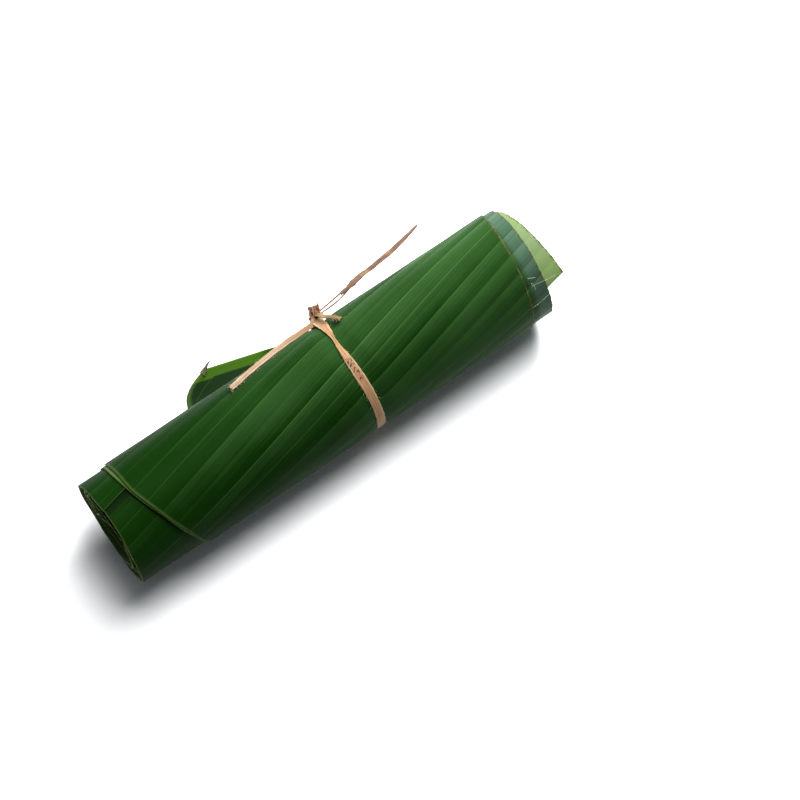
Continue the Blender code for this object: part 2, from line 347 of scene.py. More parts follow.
def noise(place, scale, detail=3.0, roughness=0.5):
    return first(place.id_data, "ShaderNodeTexNoise", {
        "Vector": place, "Scale": scale, "Detail": detail, "Roughness": roughness})


def named(tree, name, kind="FLOAT"):
    """A value that the mesh holds under a name."""
    return first(tree, "GeometryNodeInputNamedAttribute", {"Name": name}, data_type=kind)


def new_tree(name, kind, sockets, results):
    """A node group with named inputs (name, socket kind, default) and outputs (name, socket kind)."""
    tree = bpy.data.node_groups.new(name, kind)
    for label, socket, default in sockets:
        made = tree.interface.new_socket(name=label, in_out="INPUT", socket_type=socket)
        if default is not None:
            made.default_value = default
    for label, socket in results:
        tree.interface.new_socket(name=label, in_out="OUTPUT", socket_type=socket)
    return tree, tree.nodes.new("NodeGroupInput").outputs, tree.nodes.new("NodeGroupOutput").inputs


FLOAT, VECTOR, WHOLE = "NodeSocketFloat", "NodeSocketVector", "NodeSocketInt"
GEOMETRY, FINISH = "NodeSocketGeometry", "NodeSocketMaterial"


def new_geometry_tree(name, sockets):
    return new_tree(name, "GeometryNodeTree", [("Geometry", GEOMETRY, None), *sockets, ("Material", FINISH, None)],
                    [("Geometry", GEOMETRY)])


def end_tree(tree, geometry, given, result):
    """Ends a Geometry Nodes tree: instances made real, and the material set."""
    real = first(tree, "GeometryNodeRealizeInstances", {"Geometry": geometry})
    painted = first(tree, "GeometryNodeSetMaterial", {"Geometry": real, "Material": given["Material"]})
    tree.links.new(painted, result["Geometry"])
    return tree


def run_tree(obj, tree, **values):
    """Adds a Geometry Nodes modifier and sets its named inputs."""
    modifier = obj.modifiers.new(tree.name, "NODES")
    modifier.node_group = tree
    for item in tree.interface.items_tree:
        key = item.name.lower().replace(" ", "_")
        if item.item_type == "SOCKET" and item.in_out == "INPUT" and key in values:
            modifier[item.identifier] = values[key]


def new_object(name, data):
    obj = bpy.data.objects.new(name, data)
    bpy.context.scene.collection.objects.link(obj)
    return obj


def made_plain(obj, name):
    """The evaluated object as a plain mesh object, with the maker object removed."""
    depsgraph = bpy.context.evaluated_depsgraph_get()
    mesh = bpy.data.meshes.new_from_object(obj.evaluated_get(depsgraph), depsgraph=depsgraph)
    mesh.name = name
    bpy.data.objects.remove(obj)
    return new_object(name, mesh)


def mesh_object(name, vertices, faces=(), edges=()):
    mesh = bpy.data.meshes.new(name)
    mesh.from_pydata([tuple(v) for v in vertices], list(edges), list(faces))
    return new_object(name, mesh)


def give_numbers(mesh, name, values, kind="FLOAT"):
    attribute = mesh.attributes.new(name, kind, "POINT")
    attribute.data.foreach_set("vector" if kind == "FLOAT_VECTOR" else "value", np.ravel(values).astype(float))


def read_all(items, key, kind=int, width=1):
    """The same value, or row of values, of every item."""
    values = np.empty((len(items), width), kind)
    items.foreach_get(key, values.ravel())
    return values if width > 1 else values[:, 0]


def give_uv(mesh, name, across, along):
    """A UV map from one pair of values a vertex."""
    corners = read_all(mesh.loops, "vertex_index")
    pairs = np.stack((across, along), axis=-1).reshape(-1, 2)
    layer = mesh.uv_layers.new(name=name)
    layer.data.foreach_set("uv", np.ravel(pairs[corners]).astype(float))


def grid_faces(rows, columns):
    at = np.arange(rows * columns).reshape(rows, columns)
    return np.stack((at[:-1, :-1], at[:-1, 1:], at[1:, 1:], at[1:, :-1]), axis=-1).reshape(-1, 4)


def thicken(obj, thickness):
    wall = obj.modifiers.new("thickness", "SOLIDIFY")
    wall.thickness = thickness * MM
    wall.offset = 0
    return wall


# ---- Geometry Nodes trees ----


def pleat_tree():
    """Raises a leaf's pleats between its veins, and ripples it a little."""
    tree, given, result = new_geometry_tree("leaf_pleats", [
        ("Pleat Height", FLOAT, 0.0002), ("Ripple Height", FLOAT, 0.0001), ("Ripple Size", FLOAT, 60.0),
        ("Ripple Stretch", FLOAT, 0.2), ("Seed", FLOAT, 0.0)])
    phase = calc("FRACT", named(tree, "pleat_phase"))
    bulge = times(phase, calc("SUBTRACT", 1.0, phase))
    bulge = plus(-1.0, bulge, 8.0)
    pleat = times(times(bulge, given["Pleat Height"]), named(tree, "pleat_share"))
    place = joined(X=named(tree, "across"), Y=times(named(tree, "along"), given["Ripple Stretch"]),
                   Z=given["Seed"])
    ripple = calc("SUBTRACT", noise(place, given["Ripple Size"], 2.0), 0.5)
    ripple = times(times(ripple, given["Ripple Height"]), named(tree, "ripple_share"))
    rise = scaled(named(tree, "outwards", "FLOAT_VECTOR"), calc("ADD", pleat, ripple))
    moved = first(tree, "GeometryNodeSetPosition", {"Geometry": given["Geometry"], "Offset": rise})
    return end_tree(tree, moved, given, result)


def fibre_tree():
    """Sets loose curved fibres along an edge, each pointing roughly the way the edge says."""
    tree, given, result = new_geometry_tree("frayed_fibres", [
        ("Count", WHOLE, 40), ("Length", FLOAT, 0.004), ("Shortest", FLOAT, 0.15), ("Slimness", FLOAT, 0.03),
        ("Bend", FLOAT, 0.3), ("Splay", FLOAT, 0.5), ("Flatness", FLOAT, 1.0), ("Seed", WHOLE, 0)])
    curve = first(tree, "GeometryNodeMeshToCurve", {"Mesh": given["Geometry"]})
    spots = first(tree, "GeometryNodeResampleCurve", {"Curve": curve, "Count": given["Count"]})
    fibre = first(tree, "GeometryNodeCurveQuadraticBezier", {
        "Resolution": 6, "Start": (0, 0, 0), "Middle": joined(X=given["Bend"], Z=0.5), "End": (0, 0, 1)})
    taper = plus(1.0, add(tree, "GeometryNodeSplineParameter").outputs["Factor"], -0.8)
    fibre = first(tree, "GeometryNodeSetCurveRadius", {"Curve": fibre, "Radius": taper})
    section = first(tree, "GeometryNodeCurvePrimitiveCircle", {"Resolution": 4, "Radius": given["Slimness"]})
    flat = joined(X=1.0, Y=given["Flatness"], Z=1.0)
    section = first(tree, "GeometryNodeTransform", {"Geometry": section, "Scale": flat})
    fibre = first(tree, "GeometryNodeCurveToMesh", {"Curve": fibre, "Profile Curve": section, "Fill Caps": True})
    stray = first(tree, "FunctionNodeRandomValue", {
        "Min": (-1, -1, -1), "Max": (1, 1, 1), "Seed": given["Seed"]}, data_type="FLOAT_VECTOR")
    heading = first(tree, "ShaderNodeVectorMath", {
        0: named(tree, "heading", "FLOAT_VECTOR"), 1: scaled(stray, given["Splay"])})
    turn = first(tree, "FunctionNodeAlignRotationToVector", {"Vector": heading}, axis="Z")

    def drawn(low, high, seed):
        return add(tree, "FunctionNodeRandomValue", {2: low, 3: high, "Seed": seed}).outputs[1]

    spin = first(tree, "FunctionNodeAxisAngleToRotation", {
        "Axis": (0, 0, 1), "Angle": drawn(0.0, 6.283, given["Seed"])})
    turn = first(tree, "FunctionNodeRotateRotation", {"Rotation": turn, "Rotate By": spin}, rotation_space="LOCAL")
    size = drawn(given["Shortest"], 1.0, calc("ADD", given["Seed"], 7.0))
    placed = first(tree, "GeometryNodeInstanceOnPoints", {
        "Points": spots, "Instance": fibre, "Rotation": turn, "Scale": times(size, given["Length"])})
    return end_tree(tree, placed, given, result)


def thread_tree():
    """A thin thread that wanders along an edge."""
    tree, given, result = new_geometry_tree("edge_thread", [
        ("Radius", FLOAT, 0.0002), ("Wander", FLOAT, 0.0005), ("Wander Size", FLOAT, 250.0),
        ("Step", FLOAT, 0.0012), ("Seed", FLOAT, 0.0)])
    curve = first(tree, "GeometryNodeMeshToCurve", {"Mesh": given["Geometry"]})
    curve = first(tree, "GeometryNodeResampleCurve", {"Curve": curve, "Length": given["Step"]}, mode="LENGTH")
    wave = add(tree, "ShaderNodeTexNoise", {
        "Vector": first(tree, "GeometryNodeInputPosition"), "W": given["Seed"], "Scale": given["Wander Size"],
        "Detail": 3.0}, noise_dimensions="4D").outputs["Color"]
    stray = first(tree, "ShaderNodeVectorMath", {0: wave, 1: (0.5, 0.5, 0.5)}, operation="SUBTRACT")
    curve = first(tree, "GeometryNodeSetPosition", {
        "Geometry": curve, "Offset": scaled(stray, given["Wander"])})
    section = first(tree, "GeometryNodeCurvePrimitiveCircle", {"Resolution": 5, "Radius": given["Radius"]})
    tube = first(tree, "GeometryNodeCurveToMesh", {"Curve": curve, "Profile Curve": section, "Fill Caps": True})
    return end_tree(tree, tube, given, result)


# ---- Shader groups and materials ----


def ranged(value, low, high, bottom=0.0, top=1.0, way="SMOOTHSTEP"):
    return first(value.id_data, "ShaderNodeMapRange", {
        "Value": value, "From Min": low, "From Max": high, "To Min": bottom, "To Max": top},
        interpolation_type=way)


def fading(value, low, high, top=1.0):
    return ranged(value, low, high, top, 0.0)


def mixed(share, one, other):
    """Two colours mixed by a share."""
    colours = [c if isinstance(c, bpy.types.NodeSocket) else (*c, 1) for c in (one, other)]
    inputs = {0: share, 6: colours[0], 7: colours[1]}
    return add(tree_of(share, one, other), "ShaderNodeMix", inputs, data_type="RGBA").outputs[2]


def bumped(height, strength, distance):
    return first(height.id_data, "ShaderNodeBump", {"Height": height, "Strength": strength, "Distance": distance})


def object_place(tree):
    return add(tree, "ShaderNodeTexCoord").outputs["Object"]


def uv_parts(tree, name):
    return split(first(tree, "ShaderNodeUVMap", uv_map=name))


def new_material(name):
    made = bpy.data.materials.new(name)
    made.use_nodes = True
    return made, made.node_tree, made.node_tree.nodes["Principled BSDF"]


def vein_group():
    """The veins' pattern on a blade: the ribs, each pleat's own tone, the fine veins, and their relief in mm."""
    tree, given, result = new_tree("leaf_veins", "ShaderNodeTree", [
        ("Map", VECTOR, None), ("Pleat Pitch", FLOAT, PLEAT_PITCH), ("Rib Width", FLOAT, 0.0005),
        ("Vein Pitch", FLOAT, 0.0011), ("Pleat Relief", FLOAT, 0.5)], [
        ("Rib", FLOAT), ("Below Rib", FLOAT), ("Pleat Tone", FLOAT), ("Streak", FLOAT), ("Relief", FLOAT)])
    parts = split(given["Map"])
    across, along = parts["X"], parts["Y"]

    def stretched(factor):
        return joined(X=across, Y=times(along, factor))

    def own_value(number):
        return add(tree, "ShaderNodeTexWhiteNoise", {"W": number}, noise_dimensions="1D").outputs["Value"]

    place = calc("ADD", calc("DIVIDE", across, given["Pleat Pitch"]), 0.5)
    phase = calc("FRACT", place)
    onwards = calc("SUBTRACT", 1.0, phase)
    rib_number = calc("FLOOR", calc("ADD", place, 0.5))
    rib_value = own_value(calc("ADD", rib_number, 0.37))
    near = times(calc("MINIMUM", phase, onwards), given["Pleat Pitch"])
    rib = fading(near, 0.0, given["Rib Width"])
    rib = times(rib, plus(0.1, calc("POWER", rib_value, 1.6), 0.9))
    streak = noise(stretched(STREAK_STRETCH), STREAK_SCALE, 4.0, 0.6)

    sway = calc("SUBTRACT", noise(stretched(SWAY_STRETCH), SWAY_SCALE, 2.0), 0.5)
    veins = plus(calc("DIVIDE", across, given["Vein Pitch"]), sway, 0.9)
    veins = calc("SINE", times(veins, 6.2832))
    bulge = times(times(times(phase, onwards), 4.0), given["Pleat Relief"])
    bulge = times(bulge, plus(0.3, rib_value, 0.8))
    relief = times(bulge, ranged(along, -0.09, 0.06, 0.4, 1.0, "LINEAR"))
    for value, height in ((veins, 0.012), (streak, 0.1), (rib, 0.05)):
        relief = plus(relief, value, height)
    for name, value in {"Rib": rib, "Below Rib": phase, "Pleat Tone": own_value(calc("FLOOR", place)),
                        "Streak": streak, "Relief": relief}.items():
        tree.links.new(value, result[name])
    return tree


def blade_face(name, veins, deep, light, rib, roughness, gloss, pleat_relief, margin_width=0.0024,
               margin_share=0.55, cut_end=None, corner=None, loose=None, first_edge=False, shaded_step=False):
    """One face of a blade.

    cut_end is two colours by the cut and where they fade, corner a painted light at their low corner, and loose a
    painted backlight on the strip along the loose edge. The first-edge flag paints a highlight along a leaf's
    first edge, and shaded_step paints the shadow that edge casts on the ply below.
    """
    made, tree, shader = new_material(name)
    vein_map = first(tree, "ShaderNodeUVMap", uv_map="vein_map")
    arc, along = split(vein_map)[:2]
    from_margin, from_cut = uv_parts(tree, "edge_map")[:2]
    look = add(tree, "ShaderNodeGroup", node_tree=veins)
    feed(tree, look, {"Pleat Relief": pleat_relief, "Map": vein_map})
    pattern = look.outputs
    place = object_place(tree)

    tone = plus(BASE_TONE, pattern["Pleat Tone"], PLEAT_TONE)
    # Painted light: each pleat is lighter just below its rib and darker towards the next one
    tone = plus(tone, pattern["Below Rib"], BELOW_RIB_LIGHT)
    for value, share in ((pattern["Streak"], STREAK_TONE), (noise(place, PATCH_SCALE), PATCH_TONE)):
        tone = plus(tone, calc("SUBTRACT", value, 0.5), share)
    # Painted shade darkens the roll's left end and painted light brightens its right part
    tone = calc("ADD", tone, ranged(along, *LEFT_SHADE_STRETCH, -0.6, 0.03))
    tone = calc("ADD", tone, ranged(along, *RIGHT_LIGHT_STRETCH, 0.0, 0.16), clamp=True)
    colour = mixed(tone, deep, light)
    # The ribs fade towards the left end with its painted shade
    rib_share = times(pattern["Rib"], ranged(along, *LEFT_SHADE_STRETCH, 0.25, 0.65))
    colour = mixed(rib_share, colour, rib)
    if cut_end is not None:
        one, other, start, stop = cut_end
        shade = mixed(tone, one, other)
        # Painted light: the low corner of the cut end is lightened
        if corner is not None:
            shade = mixed(fading(arc, *LIT_CORNER_ARC, 0.75), shade, corner)
        colour = mixed(fading(from_cut, start, stop), colour, shade)
    # Painted light: the single ply along the loose edge is lighter, as if lit through from behind
    if loose is not None:
        colour = mixed(fading(arc, *LOOSE_BACKLIT_STRIP), colour, loose)
    # Painted highlight: a thin pale line along the third leaf's first edge
    if first_edge:
        colour = mixed(fading(arc, STEP_ARC + 0.0001, STEP_ARC + 0.0006, 0.12), colour, RIM_GREEN)
    if shaded_step:
        before = ranged(arc, STEP_ARC - 0.011, STEP_ARC - 0.0005, 0.0, 0.95)
        after = fading(arc, STEP_ARC, STEP_ARC + 0.0005)
        colour = mixed(times(before, after), colour, STEP_SHADE)
    # The leaf's own paler margin band; on the core undersides it is widened into painted light near the roll's
    # left end
    margin_band_and_light = fading(from_margin, 0.25 * margin_width, margin_width, margin_share)
    colour = mixed(margin_band_and_light, colour, MARGIN_GREEN)
    specks = ranged(noise(place, SPECK_SCALE), 0.42, 0.58)
    stained = times(fading(from_cut, *CUT_STAIN), specks)
    colour = mixed(times(stained, 0.85), colour, BROWN)
    feed(tree, shader, {
        "Base Color": colour, "Roughness": plus(roughness - 0.12, pattern["Streak"], 0.24),
        "Normal": bumped(pattern["Relief"], 1.0, MM), "Specular IOR Level": gloss,
        "Specular Tint": WAX_TINT})
    return made


def rim_material():
    """The cut thickness of a blade: pale, browned in places, with a painted highlight along the third leaf's step.
    """
    made, tree, shader = new_material("leaf_cut_rim")
    arc = uv_parts(tree, "vein_map")["X"]
    grain = noise(object_place(tree), RIM_SCALE, 4.0)
    cut = mixed(ranged(grain, 0.42, 0.62), CUT_TAN, BROWN)
    margin = mixed(ranged(grain, 0.4, 0.8), RIM_GREEN, CUT_TAN)
    colour = mixed(fading(uv_parts(tree, "edge_map")["Y"], 0.001, 0.003), margin, cut)
    colour = mixed(fading(arc, *LOOSE_RIM), colour, UNDER_SHADED_DEEP)
    # Painted highlight: the cut rim along the third leaf's first edge is lightened
    from_step = calc("ABSOLUTE", calc("SUBTRACT", arc, STEP_ARC))
    colour = mixed(fading(from_step, 0.0003, 0.0008, 0.7), colour, RIB_GREEN)
    feed(tree, shader, {"Base Color": colour, "Normal": bumped(grain, 0.6, 0.2 * MM), "Roughness": 0.75,
                        "Specular IOR Level": 0.2})
    return made


def strip_material(name, light, dark, stain, stain_share, spots=False, by_knot=None):
    """Dried leaf strip: fine lengthwise fibres, stains, and dark spots or a browner start if asked."""
    made, tree, shader = new_material(name)
    parts = uv_parts(tree, "strip_map")
    across, along = parts["X"], parts["Y"]
    stretched = joined(X=across, Y=times(along, STRIP_FIBRE_STRETCH))
    fibres = noise(stretched, STRIP_FIBRE_SCALE, 5.0, 0.65)
    place = object_place(tree)
    patches = noise(place, STAIN_SCALE, 4.0)
    colour = mixed(ranged(fibres, 0.36, 0.66), dark, light)
    colour = mixed(times(ranged(patches, 0.5, 0.72), stain_share), colour, stain)
    if by_knot is not None:
        colour = mixed(fading(along, 0.008, 0.045, 0.9), colour, by_knot)
        # Painted shade: a darker line, in patches, along the tail's lengthwise crease
        from_crease = calc("ABSOLUTE", calc("ADD", across, 0.0004))
        crease = times(fading(from_crease, 0.0, 0.0006, 0.8), ranged(patches, 0.3, 0.5))
        colour = mixed(crease, colour, CREASE_SHADE)
    if spots:
        off_centre = calc("ABSOLUTE", across)
        colour = mixed(ranged(off_centre, 0.0015, 0.0028, 0.0, 0.55), colour, PALE_STRAW)
        here = times(ranged(along, SPOTS_FROM, SPOTS_FROM + 0.003),
                     fading(along, SPOTS_TO - 0.003, SPOTS_TO))
        here = times(here, fading(off_centre, 0.0012, 0.0022))
        colour = mixed(times(here, 0.45), colour, RED_BROWN)
        spot = times(ranged(noise(place, SPOT_SCALE), 0.48, 0.53), here)
        colour = mixed(times(spot, 0.96), colour, SPOT_BROWN)
    feed(tree, shader, {"Base Color": colour, "Normal": bumped(fibres, 0.9, 0.3 * MM),
                        "Roughness": plus(0.55, fibres, 0.3), "Specular IOR Level": 0.3})
    return made


def fibre_material(name, one, other):
    made, tree, shader = new_material(name)
    share = ranged(noise(object_place(tree), LOOSE_FIBRE_SCALE, 2.0), 0.38, 0.62)
    feed(tree, shader, {"Base Color": mixed(share, one, other), "Roughness": 0.7})
    return made


# ---- Leaves ----


def leaf_surface(name, seed):
    """A leaf's sheet before its pleats: labels, places along the roll, winding angles, depths and its two ends."""
    start, stop, depth_of, left_of, right_of = LEAVES[name]
    tight = np.arange(start, min(stop, TIGHT_LABEL), FINE_LABELS)
    core = np.arange(max(start, TIGHT_LABEL), stop, CORE_LABELS)
    labels = np.concatenate((tight, core, [stop]))[:, None]
    left, right = left_of(labels), right_of(labels)
    draw = np.random.default_rng(seed)
    ragged = np.convolve(draw.normal(size=len(labels) + 8), np.ones(3) / 3, "same")[4:-4, None]
    right = right - CUT_RAGGED * np.abs(ragged)
    wave = 0.5 * np.sin(np.radians(labels * 3.1) + seed) + 0.3 * np.sin(np.radians(labels * 7.3) + 2 * seed)
    left = left + MARGIN_WAVE * (wave + 0.8)
    count = int((right - left).max() / STATION_STEP)
    inner = np.linspace(0, 1, count)[None, :]
    x = left + END_STATIONS[-1] + (right - left - 2 * END_STATIONS[-1]) * inner
    x = np.concatenate((left, left + END_STATIONS[0], x, right - END_STATIONS[0], right), axis=1)
    psi = labels + np.degrees(VEIN_TURN * (x - LOOSE_EDGE_X))
    return labels, x, psi, depth_of(psi / 360), left, right


def tightness(depth):
    """1 in the outer turns and 0 in the loose core."""
    return 1 - smoothstep(5, 8, depth)


def core_ruffle(psi, x, depth, seed):
    """Loose inner plies wave in and out near the roll's ends."""
    free = smoothstep(5, 11, depth) * smoothstep(40, 150, np.abs(x))
    wave = np.sin(np.radians(psi * 2.3) + seed) + 0.6 * np.sin(np.radians(psi * 5.1) + 3 * seed)
    return CORE_RUFFLE * free * wave


def pleat_share(labels, x, psi, depth):
    """How high pleats and ripples stand: not on the underside or under the tie, and no pleats in the core."""
    pleat = np.floor(labels / PLEAT_LABELS + 0.5).astype(int) % PLEATS_ROUND
    strength = np.random.default_rng(5).uniform(0.25, 1.0, PLEATS_ROUND)[pleat]
    beside_foot = np.abs((LOOSE_EDGE_ANGLE - psi + 90 + 180) % 360 - 180)
    towards_stalk = 0.3 + 0.7 * smoothstep(-110, 50, x)
    open_air = smoothstep(20, 38, beside_foot) * (1 - groove(x) / GROOVE_DEPTH)
    return tightness(depth) * strength * towards_stalk * open_air, open_air


def leaf_piece(name, seed, pleats, faces, pleat_height):
    labels, x, psi, depth, left, right = leaf_surface(name, seed)
    middle = depth + BLADE_THICKNESS / 2 + tightness(depth) * groove(x) + core_ruffle(psi, x, depth, seed)
    obj = mesh_object(name + "_sheet", roll_points(psi, x, middle).reshape(-1, 3), grid_faces(*x.shape).tolist())
    labels = np.broadcast_to(labels, x.shape)
    pleat, open_air = pleat_share(labels, x, psi, depth)
    arc = np.radians(labels) * ROLL_RADIUS * MM
    for key, values in zip(PLEAT_VALUES, (labels / PLEAT_LABELS + 0.5, pleat, open_air, arc, x * MM)):
        give_numbers(obj.data, key, values)
    give_numbers(obj.data, "outwards", outward_of(psi, x, middle), "FLOAT_VECTOR")
    give_uv(obj.data, "vein_map", arc, x * MM)
    give_uv(obj.data, "edge_map", (x - left) * MM, (right - x) * MM)
    run_tree(obj, pleats, pleat_height=pleat_height * MM, ripple_height=RIPPLE_HEIGHT * MM, seed=float(seed),
             material=faces[0])
    thicken(obj, BLADE_THICKNESS).use_even_offset = False
    piece = made_plain(obj, name + "_blade")
    paint_faces(piece.data, faces)
    return piece


def paint_faces(mesh, materials):
    """Gives each face of a blade its finish by the way it looks: outwards, inwards or along the cut."""
    mesh.materials.clear()
    for material in materials:
        mesh.materials.append(material)
    outward = read_all(mesh.attributes["outwards"].data, "vector", float, 3)
    normal = read_all(mesh.polygons, "normal", float, 3)
    corner = read_all(mesh.loops, "vertex_index")[read_all(mesh.polygons, "loop_start")]
    facing = np.einsum("ij,ij->i", normal, outward[corner])
    slot = np.where(facing > 0.5, 0, np.where(facing < -0.5, 1, 2))
    mesh.polygons.foreach_set("material_index", slot.astype(int))
    mesh.polygons.foreach_set("use_smooth", slot < 2)
    for name in (*PLEAT_VALUES, "outwards"):
        mesh.attributes.remove(mesh.attributes[name])


# ---- Loose fibres on the leaves' cut edges ----


def edge_line(points, headings):
    """A line of points that fibres or a thread are set along."""
    obj = mesh_object("edge_line", points, edges=[(k, k + 1) for k in range(len(points) - 1)])
    give_numbers(obj.data, "heading", headings, "FLOAT_VECTOR")
    return obj


def cut_edge(name, seed):
    """Points just above the part of a leaf's right cut edge that shows, and the ways out from it."""
    labels, x, psi, depth = leaf_surface(name, seed)[:4]
    here = (labels[:, 0] >= 60) & (labels[:, 0] <= 330)
    psi, x, depth = psi[here, -1], x[here, -1], depth[here, -1]
    return roll_points(psi, x - 0.3, depth - 0.02), outward_of(psi, x, depth)


# ---- The tie ----

# The band on its way round: turns from the knot, half width, shift along the roll, fold
BAND_SHAPE = [(0.0, 3.5, 0.2, 0.6), (0.05, 3.3, 0.1, 0.6), (0.1, 2.6, -0.3, 0.8), (0.13, 1.7, -0.8, 1.0),
              (0.158, 0.75, -1.5, 1.2), (0.18, 1.3, -1.9, 0.9), (0.2, 1.7, -2.1, 0.6), (0.225, 2.3, -2.2, 0.4),
              (0.25, 2.8, -2.2, 0.25), (0.285, 2.9, -2.1, 0.15), (0.335, 2.85, -1.8, 0.15),
              (0.39, 2.8, -2.1, 0.15), (0.489, 2.8, -2.7, 0.15), (0.6, 3.0, -2.0, 0.15), (0.75, 3.0, -0.6, 0.15),
              (0.9, 3.0, 0.0, 0.3), (1.0, 3.5, 0.2, 0.6)]
BAND_STATIONS = 300
BAND_SMOOTHED = 9
KNOT_PSI = 352.0
KNOT_LIFT, KNOT_LIFT_TURNS = 3.0, 0.075
KNOT_X = TIE_X + 2.2
LOOP_STATIONS = 121
TUFT_STRIPS = 9
TUFT_STATIONS = 16
TUFT_HEIGHT = 8.0
TEAR_ROWS = 6
SPOTS_FROM, SPOTS_TO = 0.05, 0.068

# Tails and strands: psi, x, depth, half width, which way the face looks, and fold
PALE_TAIL = [(347.5, 18.9, -1.2, 2.5, 60, 0.9), (342, 14.8, 0.8, 2.5, 54, 1.1), (341, 8.0, 1.0, 2.2, 60, 1.2),
             (335, -6.8, 0.7, 2.2, 64, 1.2), (327, -21.3, 0.3, 2.0, 66, 1.1), (320, -35.9, 0.0, 1.9, 68, 1.0),
             (314, -46.8, -0.4, 1.9, 70, 0.8), (312, -51.2, -0.8, 1.8, 70, 0.5)]
DARK_TAIL = [(352, 40.5, -5.0, 0.4, 95, 0.1), (351.5, 45, -5.8, 1.1, 95, 0.4), (351, 50.5, -7.0, 1.9, 95, 0.6),
             (351, 57, -8.0, 1.7, 90, 0.5), (351, 66, -8.7, 1.5, 95, 0.5), (351, 80, -10.2, 1.6, 100, 0.5),
             (351, 93, -12.6, 1.3, 95, 0.4), (351, 103.6, -14.8, 0.7, 90, 0.1)]
UPPER_STRAND = [(353, 20, -3.4, 0.7, 90, 0.1), (353, 26, -4.2, 0.5, 100, 0.1), (352, 34, -5.0, 0.5, 90, 0.1),
                (352, 42, -6.2, 0.6, 90, 0.1), (351, 50, -7.6, 0.4, 90, 0.1)]
LOWER_STRAND = [(353, 20, -2.2, 0.6, 80, 0.1), (353, 27, -2.4, 0.5, 90, 0.1), (352, 35, -2.7, 0.5, 85, 0.1),
                (352, 43, -4.2, 0.45, 90, 0.1), (351, 52, -6.6, 0.4, 90, 0.1)]
SHORT_STRAND = [(348, 20.5, -3.0, 1.3, 60, 0.3), (331, 22.0, -1.1, 1.6, 50, 0.4), (321, 25.0, -0.3, 1.3, 50, 0.6),
                (307, 28.2, -0.5, 1.3, 55, 0.4)]


def spline(keys, count):
    """Smooth values through a list of keys, at evenly spaced shares of the way."""
    keys = np.asarray(keys, float)
    padded = np.vstack((2 * keys[0] - keys[1], keys, 2 * keys[-1] - keys[-2]))
    place = np.linspace(0, len(keys) - 1, count)
    k = np.minimum(place.astype(int), len(keys) - 2)
    t = (place - k)[:, None]
    a, b, c, d = (padded[k + j] for j in range(4))
    return 0.5 * (2 * b + (c - a) * t + (2 * a - 5 * b + 4 * c - d) * t ** 2 + (3 * b - a - 3 * c + d) * t ** 3)


def strip_ways(centres, ups, closed=False):
    """Unit vectors along a strip, out of its face and across it."""
    ahead = np.gradient(centres, axis=0)
    if closed:
        ahead[0] = ahead[-1] = centres[1] - centres[-2]
    ahead = unit(ahead)
    ups = unit(ups - np.einsum("ij,ij->i", ups, ahead)[:, None] * ahead)
    return ahead, ups, np.cross(ahead, ups)


def strip_fringe(centres, ups, half_widths, side, start, stop):
    """A line along one edge of a strip between two shares of its length, for fibres to stand on."""
    ahead, ups, sides = strip_ways(centres, ups)
    part = slice(int(start * len(centres)), int(stop * len(centres)))
    points = centres + side * sides * (0.93 * half_widths[:, None]) * MM
    return edge_line(points[part], (side * sides + 0.9 * ahead + 0.2 * ups)[part])


def strip_mesh(name, centres, ups, half_widths, finish, seed, folds=0.0, columns=10, closed=False, ragged=0.1,
               torn=0.0, ribs=0.1):
    """A dried strip along a path: cupped, ribbed lengthwise, its edges uneven and its end torn."""
    draw = np.random.default_rng(seed)
    count = len(centres)
    ahead, ups, sides = strip_ways(centres, ups, closed)
    q = np.linspace(-1, 1, columns + 1)[None]
    uneven = draw.normal(size=(count, 2))
    uneven = (uneven + np.roll(uneven, 1, 0) + np.roll(uneven, -1, 0)) / 3
    uneven[-1] = uneven[0] if closed else uneven[-1]
    reach = 1 + ragged * np.where(q < 0, uneven[:, :1], uneven[:, 1:]) * np.abs(q) ** 4
    across = half_widths[:, None] * q * reach
    folds = np.broadcast_to(folds, count)[:, None]
    crease = folds * (0.55 * np.abs(np.sin(q * math.pi * 1.5)) - 0.2)
    lines = ribs * (np.cos(q * math.pi * columns / 2) * 0.5 + 0.5)
    rise = crease + lines + 0.12 * (1 - q ** 2)
    length = np.concatenate(([0], np.cumsum(np.linalg.norm(np.diff(centres, axis=0), axis=1))))
    points = centres[:, None] + sides[:, None] * across[..., None] * MM + ups[:, None] * rise[..., None] * MM
    if torn:
        tears = draw.uniform(-1, 0.4, columns + 1) * torn
        for k in range(TEAR_ROWS):
            points[count - 1 - k] += ahead[-1] * tears[:, None] * MM * (1 - k / TEAR_ROWS)
    obj = mesh_object(name + "_sheet", points.reshape(-1, 3), grid_faces(count, columns + 1).tolist())
    give_uv(obj.data, "strip_map", across * MM, np.broadcast_to(length[:, None], across.shape))
    obj.data.materials.append(finish)
    if closed:
        bm = bmesh.new()
        bm.from_mesh(obj.data)
        bmesh.ops.remove_doubles(bm, verts=bm.verts, dist=0.00002)
        bm.to_mesh(obj.data)
        bm.free()
    obj.data.shade_smooth()
    thicken(obj, STRIP_THICKNESS)
    return made_plain(obj, name)


